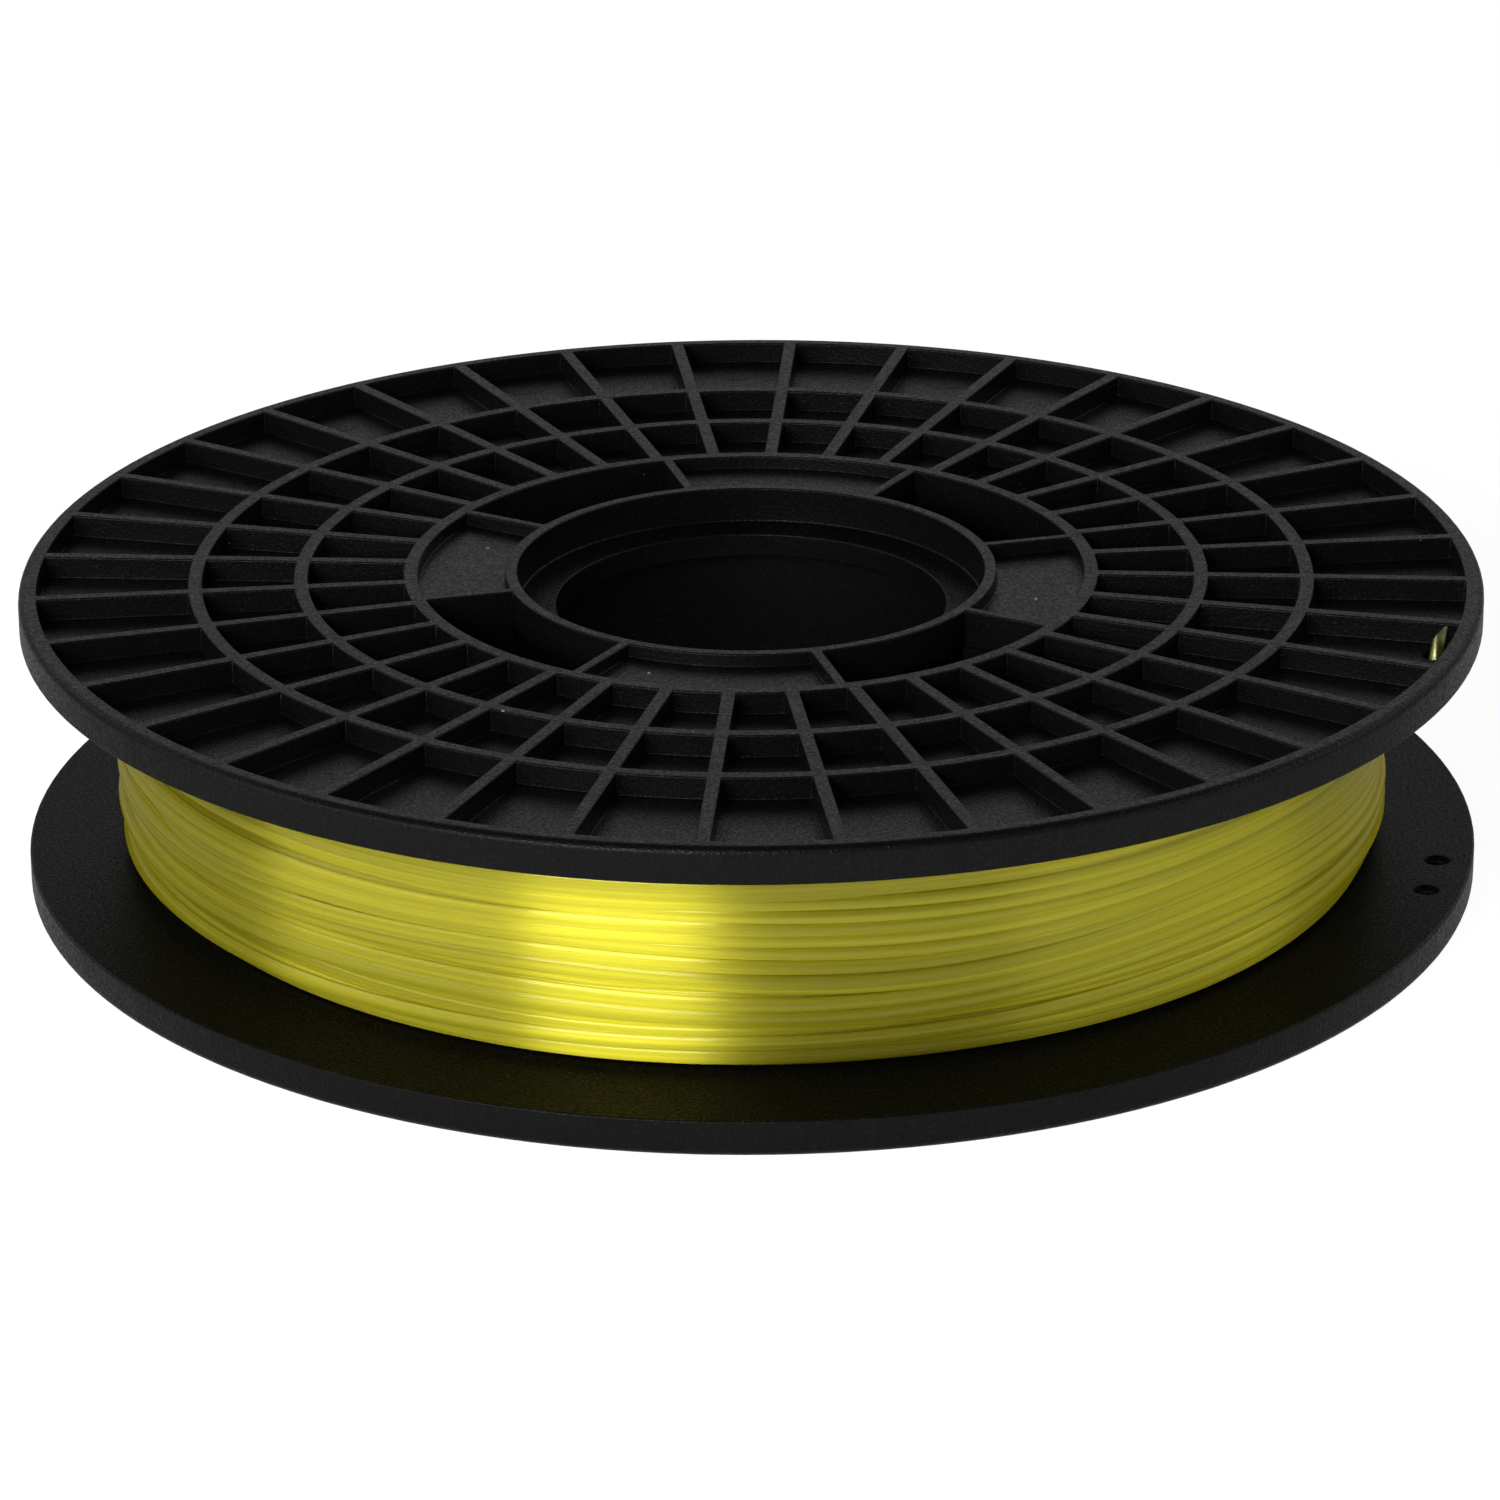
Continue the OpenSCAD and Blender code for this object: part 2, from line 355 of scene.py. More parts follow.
def hub_zone(s, seam):
    """Points of the hub from underneath the hub ring in to the bore and back out over its top.

    The depth at a point is that of its space between two dividers times its share across and its
    share along. Every second space is a window right through. Also returned are the points'
    angles and, for each face of the grid, whether it is kept or lies in a window.
    """
    away, down = wall_section(s, s.hub_depth)
    share = down/s.hub_depth
    turn_down = len(away)//2
    window_share = np.append(down[:turn_down]/s.flange_thickness, np.ones(turn_down))
    # lines between two dividers, and between the collar and the hub ring
    between, inside = 12, 4
    top_radii = np.append(across_pocket(s.collar_radius, s.window_radius, away, inside), seam)
    count = len(top_radii)
    boss = boss_profile(s)
    radii = np.concatenate([top_radii[::-1][:-1], boss[:, 0], top_radii])
    spread = np.maximum(radii, s.collar_radius)
    angles = spoke_angles(spread, s.divider_turn, s.divider_count, s.divider_width/2, away, between)
    # round the bore and the recess the columns stand evenly, which keeps those walls smooth
    even = s.divider_turn + np.linspace(0, FULL_TURN, angles.shape[1], endpoint=False)
    turning = (1/3, 2/3)
    evenness = np.concatenate([
        np.zeros(count + 1), turning, np.ones(len(boss) - 2 - len(turning)), np.zeros(count)])
    angles += evenness[:, None]*(even - angles)

    across = np.append(mirrored_shares(share, inside), 0.0)
    window_across = np.append(mirrored_shares(window_share, inside), 0.0)
    along = s.hub_depth*np.append(0.0, mirrored_shares(share, between))
    window_along = s.flange_thickness*np.append(0.0, mirrored_shares(window_share, between))
    windows = np.arange(s.divider_count) % 2 == 0
    is_window = np.repeat(windows, len(along))
    column_depth = np.concatenate([window_along if window else along for window in windows])
    row_share = np.where(is_window[None, :], window_across[:, None], across[:, None])
    depth = row_share*column_depth[None, :]
    heights = np.concatenate([np.full(count - 1, -s.flange_thickness), boss[:, 1], np.zeros(count)])
    heights = np.repeat(heights[:, None], len(column_depth), axis=1)
    heights[-count:] -= depth
    points = around(radii[:, None], angles, heights)

    # a face is open where all four of its corners lie at the window's full depth
    full = depth > s.flange_thickness - SAME_PLACE
    full_across = full & np.roll(full, -1, axis=1)
    open_top = full_across[:-1] & full_across[1:]
    keep = np.ones((len(radii) - 1, len(column_depth)), bool)
    keep[-(count - 1):] = ~open_top
    keep[:count - 2] = ~open_top[::-1][:-1]
    return points, angles, keep


def flange_mesh(s):
    """Points, four-sided faces and seam triangles of the flange with its outer face on top."""
    seam = s.window_radius + s.ring_width/2
    outer, outer_angles = rib_zone(s, seam + SEAM_GAP/2)
    hub, hub_angles, keep = hub_zone(s, seam - SEAM_GAP/2)
    rows, columns = outer.shape[:2]
    first_hub = rows*columns
    hub_rows, hub_columns = hub.shape[:2]
    last_hub = first_hub + (hub_rows - 1)*hub_columns
    quads = np.concatenate([
        grid_faces(rows, columns).reshape(-1, 4),
        grid_faces(hub_rows, hub_columns, first_hub)[keep]])
    seams = np.concatenate([
        joining_faces(outer_angles, (rows - 1)*columns, hub_angles[0], first_hub),
        joining_faces(hub_angles[-1], last_hub, outer_angles, 0)])
    points = np.concatenate([outer.reshape(-1, 3), hub.reshape(-1, 3)])
    points[:, 2] += s.height
    used = np.unique(np.concatenate([quads.ravel(), seams.ravel()]))
    return points[used], np.searchsorted(used, quads), np.searchsorted(used, seams)


def hole_turns(s):
    """Angles of the two holes for the string's end, on both sides of a rib's end."""
    rib = s.rib_turn - 2*FULL_TURN/s.rib_count
    half = math.asin(s.hole_step/2/s.hole_circle)
    return rib + half, rib - half


def cut_holes(piece, s, sides=40):
    """Cuts the two round holes for the string's end."""
    rim = np.linspace(0, FULL_TURN, sides, endpoint=False)
    walls = grid_faces(2, sides).reshape(-1, 4)[:, ::-1].tolist()
    caps = [list(range(sides))[::-1], list(range(sides, 2*sides))]
    past = 1*MM
    for turn in hole_turns(s):
        ends = [around(s.hole_radius, rim, z) + around(s.hole_circle, turn, 0)
                for z in (-past, s.height + past)]
        cutter = new_piece("hole_cutter", np.concatenate(ends), walls + caps, smooth=False)
        cut = piece.modifiers.new("String hole", "BOOLEAN")
        cut.operation = "DIFFERENCE"
        cut.solver = "MANIFOLD"
        cut.object = cutter
        apply_modifiers(piece)
        bpy.data.objects.remove(cutter)


def finish_flange(piece, c, inner_side):
    """Gives a flange its finish, and the duller one to the faces at the height of its inner side."""
    materials = piece.data.materials
    materials.clear()
    materials.append(moulded_plastic(c))
    materials.append(moulded_plastic(c, "Moulded black plastic, inner side", INNER_SHINE))
    middles = np.empty(len(piece.data.polygons)*3)
    piece.data.polygons.foreach_get("center", middles)
    inner = np.abs(middles[2::3] - inner_side) < 0.02*MM
    piece.data.polygons.foreach_set("material_index", inner.astype(np.int32))


class REEL_OT_flanges(bpy.types.Operator):
    """Builds both flanges: rim, round and straight ribs with rounded edges, hub windows and holes"""

    bl_idname = "reel.flanges"
    bl_label = "Flanges"

    def execute(self, context):
        s, c = context.scene.reel_sizes, context.scene.reel_colours
        points, quads, seams = flange_mesh(s)
        flipped = points*(1, 1, -1) + (0, 0, s.height)
        for name, node, place, turn, inner_side in (
                ("upper_flange_moulding", "upper_flange", points, 1, s.height - s.flange_thickness),
                ("lower_flange_moulding", "lower_flange", flipped, -1, s.flange_thickness)):
            faces = quads[:, ::turn].tolist() + seams[:, ::turn].tolist()
            piece = new_piece(name, place, faces)
            merge_points(piece)
            cut_holes(piece, s)
            let_flat_faces_lead(piece)
            finish_flange(piece, c, inner_side)
            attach(piece, "root")
            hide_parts(node)
        return {"FINISHED"}


def low_discs(places, radius, height, sides=32):
    """Points and faces of flat discs, one at each place (rows of x, y, z of the surface below).

    A disc's edge leans in by its height, and its underside lies a little inside that surface.
    """
    turn = np.linspace(0, FULL_TURN, sides, endpoint=False)
    rings = [(radius, -SINK), (radius, 0.0), (radius - height, height)]
    disc = np.concatenate([around(r, turn, z) for r, z in rings])
    walls = grid_faces(len(rings), sides).reshape(-1, 4)[:, ::-1]
    faces = []
    for number in range(len(places)):
        first = number*len(disc)
        faces += (walls + first).tolist()
        faces.append(list(range(first, first + sides))[::-1])
        faces.append(list(range(first + 2*sides, first + 3*sides)))
    return (np.asarray(places)[:, None] + disc).reshape(-1, 3), faces


class REEL_OT_marks(bpy.types.Operator):
    """Adds the ejector marks in every second outer pocket and a few specks of dust"""

    bl_idname = "reel.marks"
    bl_label = "Marks"

    def execute(self, context):
        s, c = context.scene.reel_sizes, context.scene.reel_colours
        step = FULL_TURN/s.rib_count
        pockets = s.rib_turn + step*(0.5 + np.arange(0, s.rib_count, 2))
        floor = s.height - s.rib_depth
        points, faces = low_discs(around(s.mark_circle, pockets, floor), s.mark_radius, s.mark_height)
        for name, place, turn in (("upper_ejector_marks", points, 1),
                                  ("lower_ejector_marks", points*(1, 1, -1) + (0, 0, s.height), -1)):
            piece = new_piece(name, place, [face[::turn] for face in faces], smooth=False)
            piece.data.materials.append(moulded_plastic(c))
            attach(piece, "root")
        # radius in mm, angle in degrees and depth in mm of each speck
        specks = np.array([(38.7, 160.7, 1.8), (39.7, -12.4, 1.8), (38.1, -110.8, 1.8),
                           (72.4, -64.0, 3.0), (62.4, -121.0, 0.0), (84.0, -29.5, 3.0)])
        places = around(specks[:, 0]*MM, np.radians(specks[:, 1]), s.height - specks[:, 2]*MM)
        points, faces = low_discs(places, radius=0.26*MM, height=0.12*MM, sides=7)
        piece = new_piece("dust_specks", points, faces, smooth=False)
        piece.data.materials.append(pale_dust())
        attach(piece, "root")
        return {"FINISHED"}


class REEL_OT_barrel(bpy.types.Operator):
    """Gives the hollow barrel its moulded finish"""

    bl_idname = "reel.barrel"
    bl_label = "Barrel"

    def execute(self, context):
        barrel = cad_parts["hub_barrel"]
        barrel.data.materials.clear()
        barrel.data.materials.append(moulded_plastic(context.scene.reel_colours))
        return {"FINISHED"}


# ---------------------------------------------------------------- string


def slow_waves(steps, per_knot, rng):
    """A smooth random curve of unit size: random knots joined by raised cosines."""
    knots = rng.normal(size=steps//per_knot + 3)
    place = np.arange(steps)/per_knot
    k = place.astype(int)
    blend = (1 - np.cos(math.pi*(place - k)))/2
    return knots[k]*(1 - blend) + knots[k + 1]*blend


def drift(turn, level, rng):
    """How far neighbouring turns wander up or down together, of unit size.

    The sum of cos(2*pi*(waves*turn + twist*level + start))/sqrt(waves) for 1 to 6 waves in a turn,
    times sin(pi*level), where level rises from 0 at the lower flange to 1 at the upper one.
    """
    total = np.zeros(len(turn))
    for waves in range(1, 7):
        twist, start = rng.uniform(-1, 1), rng.uniform()
        total += np.cos(FULL_TURN*(waves*turn + twist*level + start))/math.sqrt(waves)
    return total*np.sin(math.pi*np.clip(level, 0, 1))


def soft_step(x):
    """0 below 0, 1 above 1 and 3x^2 - 2x^3 between."""
    x = np.clip(x, 0, 1)
    return x*x*(3 - 2*x)


def smoothed(values, reach):
    """The running mean of values under a raised cosine that reaches this many steps each way."""
    window = 1 + np.cos(np.linspace(-math.pi, math.pi, 2*reach + 3)[1:-1])
    padded = np.pad(values, reach, mode="edge")
    return np.convolve(padded, window/window.sum(), mode="valid")


def winding_span(w, s):
    """Heights of the middles of the lowest and the highest turn between the flanges."""
    low = s.flange_thickness + w.side_gap + w.thickness/2
    return low, s.height - low


def slip(turn, first, last, rng):
    """How far the string slips up or down at one random place between these two turns.

    It is a raised cosine that reaches 0.12 to 0.35 of a turn each way and 0.7 to 1.8 mm aside.
    """
    middle = rng.uniform(first, last)
    width = rng.uniform(0.12, 0.35)
    push = rng.choice((-1, 1))*rng.uniform(0.7, 1.8)*MM
    near = np.clip((turn - middle)/width, -1, 1)
    return push*(1 + np.cos(math.pi*near))/2


def resting_radius(w, height):
    """Radius at which each ring of the winding rests on the turns laid before it, smoothed.

    It is the largest, over the turns below, of their radius plus the square root of the reach
    squared less the height between them squared. The reach is the thickness less what the
    string gives.
    """
    reach = w.thickness - w.give
    base = w.wound_radius - reach
    most = w.wound_radius + 0.5*MM
    radius = np.full(len(height), base)
    for start in range(0, len(height), w.rings):
        span = np.arange(start, min(start + w.rings, len(height)))
        rest = np.full(len(span), base)
        for back in range(w.rings, start + 1, w.rings):
            under = span - back
            apart = height[span] - height[under]
            lift = np.sqrt(np.maximum(reach**2 - apart**2, 0))
            rest = np.maximum(rest, np.where(lift > 0, radius[under] + lift, base))
        radius[span] = np.minimum(rest, most)
    return smoothed(radius, w.rings//28)


def laid_turns(w, s):
    """Centre line of the two outer layers: angle, radius and height of each ring.

    The height is an even helix down and back up, with the drift of each layer, small waves of
    each turn's own and a few slips. At the end height and radius ease into the even lay.
    """
    # in turns: the climb from the lower flange, the eased end, and the upper layer's two ends
    # that have no slips
    climb, eased, start_without, end_without = 0.7, 0.35, 0.8, 1.2
    rng = np.random.default_rng(w.seed)
    low, high = winding_span(w, s)
    last = s.height - s.flange_thickness - BEND_ROOM
    down_turns = (high - low)/w.spacing
    up_turns = round((last - low - w.bare)/w.spacing + down_turns) - down_turns
    steps = int(round((down_turns + up_turns)*w.rings))
    turn = np.arange(steps + 1)/w.rings
    goes_down = turn < down_turns
    falling = high - w.spacing*turn
    rising = low + (last - low - w.bare)/up_turns*(turn - down_turns)
    rising += w.bare*soft_step((turn - down_turns)/climb)
    even = np.where(goes_down, falling, rising)
    level = (even - low)/(high - low)
    wander = np.where(goes_down, drift(turn, level, rng), drift(turn, level, rng))
    height = even + w.wander*wander + w.sway*slow_waves(steps + 1, w.rings//5, rng)
    for _ in range(w.slips):
        height += slip(turn, down_turns + start_without, turn[-1] - end_without, rng)
    ease = soft_step((turn[-1] - turn)/eased)
    height = np.clip(height*ease + even*(1 - ease), low, high)
    radius = resting_radius(w, height)*ease + w.wound_radius*(1 - ease)
    return turn*FULL_TURN, radius, height


def string_end(w, s):
    """Angle at which the string leaves the winding, and points from there up through its hole.

    In the upright plane of the last turn's tangent, a level line runs into a bend, and from it a
    leaning line rises through the middle of the hole at half the plate's height.
    """
    lean, bend = w.end_lean, w.end_bend
    exit_turn = hole_turns(s)[1] - math.acos(w.wound_radius/s.hole_circle)
    hole_ahead = math.sqrt(s.hole_circle**2 - w.wound_radius**2)
    plate = s.height - s.flange_thickness
    plate_middle = plate + (s.flange_thickness - s.rib_depth)/2
    top, tip = (np.array([hole_ahead + (height - plate_middle)*math.tan(lean), height])
                for height in (plate - END_GAP, s.height - END_SINK))
    centre = top + bend*np.array([-math.cos(lean), math.sin(lean)])
    slope = np.linspace(0, math.pi/2 - lean, 14)
    curve = centre + bend*np.stack([np.sin(slope), -np.cos(slope)], axis=1)
    first = np.array([0.0, curve[0, 1]])
    level = first + (curve[0] - first)*np.linspace(0, 1, 14)[1:-1, None]
    rise = curve[-1] + (tip - curve[-1])*np.linspace(0, 1, 10)[1:, None]
    path = np.concatenate([level, curve, rise])
    ahead = np.array([-math.sin(exit_turn), math.cos(exit_turn), 0])
    return exit_turn, around(w.wound_radius, exit_turn, path[:, 1]) + path[:, :1]*ahead


def tube_mesh(path, thickness, sides, slant):
    """Points and faces of a closed tube round a path, and the length along it to each ring.

    A ring has the path's heading as its axis, and its points lie at thickness/2 times
    cos(a)*sideways + sin(a)*upwards. The far end is cut askew: near it, a point moves ahead by
    slant*thickness/2*cos(a), fading over the last three thicknesses.
    """
    ahead = np.gradient(path, axis=0)
    ahead /= np.linalg.norm(ahead, axis=1, keepdims=True)
    side = np.cross(ahead, (0, 0, 1))
    side /= np.linalg.norm(side, axis=1, keepdims=True)
    up = np.cross(side, ahead)
    a = np.linspace(0, FULL_TURN, sides, endpoint=False)
    along = np.concatenate([[0], np.cumsum(np.linalg.norm(np.diff(path, axis=0), axis=1))])
    fade = np.clip(1 - (along[-1] - along)/(3*thickness), 0, 1)**2
    askew = slant*fade[:, None]*np.cos(a)[None, :]
    ring = (np.cos(a)[None, :, None]*side[:, None] + np.sin(a)[None, :, None]*up[:, None]
            + askew[:, :, None]*ahead[:, None])
    points = (path[:, None] + thickness/2*ring).reshape(-1, 3)
    faces = grid_faces(len(path), sides).reshape(-1, 4).tolist()
    last = (len(path) - 1)*sides
    faces += [list(range(sides))[::-1], list(range(last, last + sides))]
    return points, faces, along


def share_light(piece, path, sides, share, upto):
    """Leans the shading of wound turns outwards, as strings that lie close light each other.

    A normal is (1 - part) times the tube's own plus part times the direction away from the reel's
    axis. The part is the share on the outer half of a turn and fades to 0 round its inner half.
    It also fades over the last 40 rings before ring number upto.
    """
    points = np.empty(len(piece.data.vertices)*3)
    piece.data.vertices.foreach_get("co", points)
    points = points.reshape(len(path), sides, 3)
    own = points - path[:, None]
    own /= np.linalg.norm(own, axis=-1, keepdims=True)
    out = path*(1, 1, 0)
    out = (out/np.linalg.norm(out, axis=1, keepdims=True))[:, None]
    facing = np.clip(1 + (own*out).sum(axis=-1, keepdims=True), 0, 1)
    part = share*facing*soft_step((upto - np.arange(len(path)))/40)[:, None, None]
    normals = own*(1 - part) + out*part
    normals /= np.linalg.norm(normals, axis=-1, keepdims=True)
    piece.data.normals_split_custom_set_from_vertices(normals.reshape(-1, 3))


def add_string_map(piece, sides, along):
    """Writes the UV map of a tube: its rings' lengths along it in metres, and 0 to 1 round it.

    A face that closes a ring takes 1 and not 0 at its far side.
    """
    mesh = piece.data
    corner = np.empty(len(mesh.loops), np.int32)
    mesh.loops.foreach_get("vertex_index", corner)
    ring, k = corner // sides, corner % sides
    starts = np.empty(len(mesh.polygons), np.int32)
    totals = np.empty(len(mesh.polygons), np.int32)
    mesh.polygons.foreach_get("loop_start", starts)
    mesh.polygons.foreach_get("loop_total", totals)
    first = np.repeat(np.minimum.reduceat(k, starts), totals)
    largest = np.repeat(np.maximum.reduceat(k, starts), totals)
    wraps = (first == 0) & (largest == sides - 1) & (k == 0) & (np.repeat(totals, totals) == 4)
    v = (k + np.where(wraps, sides, 0))/sides
    layer = mesh.uv_layers.new(name="Along")
    layer.data.foreach_set("uv", np.stack([along[ring], v], axis=1).ravel())


class REEL_OT_outer_string(bpy.types.Operator):
    """Lays the string's two outer layers and its free end as one round string"""

    bl_idname = "reel.outer_string"
    bl_label = "Outer string"

    def execute(self, context):
        w, s = context.scene.string_sizes, context.scene.reel_sizes
        turns, radius, height = laid_turns(w, s)
        exit_turn, end = string_end(w, s)
        layers = around(radius, exit_turn + turns - turns[-1], height)
        path = np.concatenate([layers, end])
        points, faces, along = tube_mesh(path, w.thickness, w.sides, END_SLANT)
        piece = new_piece("wound_string", points, faces)
        # the map's zero lies where the free end's painted shade begins
        add_string_map(piece, w.sides, along - along[-1] + PAINTED_SHADE_END)
        share_light(piece, path, w.sides, w.shared_light, len(layers))
        piece.data.materials.append(clear_string(context.scene.reel_colours))
        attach(piece, "root")
        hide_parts("string_turns")
        return {"FINISHED"}


def arcs(radii, heights, size, degrees):
    """Radius and height of points on the same arc round each middle, at these angles in degrees."""
    radii, heights = np.broadcast_arrays(radii, heights)
    a = np.radians(degrees)
    return np.stack([radii[:, None] + size*np.cos(a), heights[:, None] + size*np.sin(a)],
                    axis=-1).reshape(-1, 2)


class REEL_OT_inner_string(bpy.types.Operator):
    """Fills the reel with the string's inner layers as one grooved body"""

    bl_idname = "reel.inner_string"
    bl_label = "Inner string"

    def execute(self, context):
        w, s = context.scene.string_sizes, context.scene.reel_sizes
        half = w.thickness/2
        low, high = winding_span(w, s)
        outer = w.wound_radius - 2*(w.thickness - w.give)
        inner = BARREL_HIGH.x + BARREL_GAP + half
        # the layers sink a little into each other's grooves
        layer_step = 0.88*w.thickness
        rows = np.linspace(low, high, int(round((high - low)/w.spacing)) + 1)
        layers = np.linspace(inner, outer, int(round((outer - inner)/layer_step)) + 1)
        outline = np.concatenate([
            arcs(outer, rows, half, (-62, -31, 0, 31, 62)),
            arcs(layers[::-1], high, half, (40, 90, 140)),
            arcs(layers, low, half, (220, 270, 320))])
        steps = np.linspace(0, FULL_TURN, 128, endpoint=False)
        points = around(outline[:, :1], steps[None, :], outline[:, 1:])
        faces = grid_faces(len(outline), len(steps), closed_rows=True).reshape(-1, 4)[:, ::-1]
        piece = new_piece("inner_string", points.reshape(-1, 3), faces.tolist())
        piece.data.materials.append(clear_string(context.scene.reel_colours))
        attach(piece, "root")
        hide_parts("string_core")
        return {"FINISHED"}


# ---------------------------------------------------------------- materials


def add_node(tree, kind, values=(), **settings):
    """A node with these settings, and these values or links on its named or numbered inputs."""
    node = tree.nodes.new(kind)
    for key, value in settings.items():
        setattr(node, key, value)
    for key, value in dict(values).items():
        if isinstance(value, bpy.types.NodeSocket):
            tree.links.new(value, node.inputs[key])
        else:
            node.inputs[key].default_value = value
    return node


def calculate(tree, operation, *values):
    """The result of a Math node on sockets or numbers."""
    return add_node(tree, "ShaderNodeMath", enumerate(values), operation=operation).outputs[0]


def ramp(tree, value, start, end, low=0.0, high=1.0, smooth=False):
    """A number that runs from low to high while the value runs from start to end."""
    return add_node(tree, "ShaderNodeMapRange", enumerate((value, start, end, low, high)),
                    interpolation_type="SMOOTHSTEP" if smooth else "LINEAR").outputs[0]


def opaque(shade):
    """A colour with full alpha."""
    return (*shade, 1.0)


def mixed(tree, share, a, b):
    """A colour between a and b by share; each is a socket or a value."""
    return add_node(tree, "ShaderNodeMix", {0: share, 6: a, 7: b}, data_type="RGBA").outputs[2]


def node_group(name, numbers, results):
    """A new shader node group, and its inputs: a vector and these numbers."""
    tree = bpy.data.node_groups.new(name, "ShaderNodeTree")
    tree.interface.new_socket("Vector", in_out="INPUT", socket_type="NodeSocketVector")
    for label, value in numbers.items():
        socket = tree.interface.new_socket(label, in_out="INPUT", socket_type="NodeSocketFloat")
        socket.default_value = value
    for label in results:
        tree.interface.new_socket(label, in_out="OUTPUT", socket_type="NodeSocketFloat")
    return tree, tree.nodes.new("NodeGroupInput").outputs


def grain_group():
    """The fine texture of a spark-eroded mould: the height of small pits, and a mask of their tops,
    which are painted paler as a painted highlight.
    """
    name = "Moulded grain"
    if name in bpy.data.node_groups:
        return bpy.data.node_groups[name]
    tree, start = node_group(name, {"Pits per metre": 2200.0}, ("Height", "Pale"))
    height = add_node(tree, "ShaderNodeTexNoise", {
        "Vector": start["Vector"], "Scale": start["Pits per metre"],
        "Detail": 2.0, "Roughness": 0.62}).outputs["Fac"]
    add_node(tree, "NodeGroupOutput", {"Height": height, "Pale": ramp(tree, height, 0.5, 0.75)})
    return tree


def dust_group():
    """Sparse specks of dust: the middles of a few scattered cells."""
    name = "Dust specks"
    if name in bpy.data.node_groups:
        return bpy.data.node_groups[name]
    tree, start = node_group(
        name, {"Cells per metre": 260.0, "Share": 0.12, "Size": 0.035}, ("Mask",))
    cells = add_node(tree, "ShaderNodeTexVoronoi", {
        "Vector": start["Vector"], "Scale": start["Cells per metre"]}, feature="F1").outputs
    lot = add_node(tree, "ShaderNodeSeparateColor", {0: cells["Color"]}).outputs[0]
    chosen = calculate(tree, "LESS_THAN", lot, start["Share"])
    close = calculate(tree, "LESS_THAN", cells["Distance"], start["Size"])
    add_node(tree, "NodeGroupOutput", {"Mask": calculate(tree, "MULTIPLY", chosen, close)})
    return tree


def drawn_streaks_group():
    """The fine lengthwise streaks of a drawn string, and slow changes of tone along it.

    It reads a tube's map, metres along and turn round, and bends the turn into a circle of noise.
    """
    tree, start = node_group("Drawn streaks", {"Streaks round": 12.0}, ("Streak", "Cloud"))
    place = add_node(tree, "ShaderNodeSeparateXYZ", {0: start["Vector"]}).outputs
    turn = calculate(tree, "MULTIPLY", place["Y"], FULL_TURN)
    radius = calculate(tree, "DIVIDE", start["Streaks round"], FULL_TURN)
    ring = add_node(tree, "ShaderNodeCombineXYZ", {
        0: calculate(tree, "MULTIPLY", place["X"], 14.0),
        1: calculate(tree, "MULTIPLY", calculate(tree, "COSINE", turn), radius),
        2: calculate(tree, "MULTIPLY", calculate(tree, "SINE", turn), radius)})
    streak, cloud = (
        add_node(tree, "ShaderNodeTexNoise", {
            "Vector": ring.outputs[0], "Scale": size, "Detail": detail}).outputs["Fac"]
        for size, detail in ((1.0, 3.0), (0.35, 2.0)))
    add_node(tree, "NodeGroupOutput", {"Streak": streak, "Cloud": cloud})
    return tree


def empty_tree(owner):
    """The node tree of a material or world, cleared of its nodes."""
    owner.use_nodes = True
    owner.node_tree.nodes.clear()
    return owner.node_tree


def add_surface(tree, values):
    """A Principled BSDF with these values and links, joined to the material's output."""
    shader = add_node(tree, "ShaderNodeBsdfPrincipled", values)
    add_node(tree, "ShaderNodeOutputMaterial", {"Surface": shader.outputs[0]})


def bumped(tree, height, strength, distance):
    """The normal of a surface bumped by the height, which counts in units of the distance."""
    return add_node(tree, "ShaderNodeBump", {
        "Height": height, "Strength": strength, "Distance": distance}).outputs[0]


def moulded_plastic(c, name="Moulded black plastic", shine=0.12):
    """Black moulded plastic with a fine matte texture, a painted highlight on the grain's raised tops,
    and a little dust.
    """
    if name in bpy.data.materials:
        return bpy.data.materials[name]
    material = bpy.data.materials.new(name)
    tree = empty_tree(material)
    place = {"Vector": add_node(tree, "ShaderNodeTexCoord").outputs["Object"]}
    grain = add_node(tree, "ShaderNodeGroup", place, node_tree=grain_group()).outputs
    dust = add_node(tree, "ShaderNodeGroup", place, node_tree=dust_group()).outputs
    # painted highlight: the grain's raised tops are painted paler, as if they catch light, over the
    # speckled grain
    body = mixed(tree, grain["Pale"], opaque(c.plastic), opaque(c.plastic_grain_highlight))
    cover = calculate(tree, "MULTIPLY", dust["Mask"], 0.35)
    add_surface(tree, {
        "Base Color": mixed(tree, cover, body, (0.3, 0.29, 0.28, 1.0)),
        # the tops of the grain are worn smoother than its pits
        "Roughness": ramp(tree, grain["Height"], 0.3, 0.7, 0.54, 0.16),
        "Specular IOR Level": shine,
        "Normal": bumped(tree, grain["Height"], strength=1.0, distance=0.1*MM)})
    return material


def pale_dust():
    """Matte pale dust."""
    material = bpy.data.materials.new("Pale dust")
    add_surface(empty_tree(material), {"Base Color": (0.30, 0.29, 0.27, 1.0), "Roughness": 0.9})
    return material


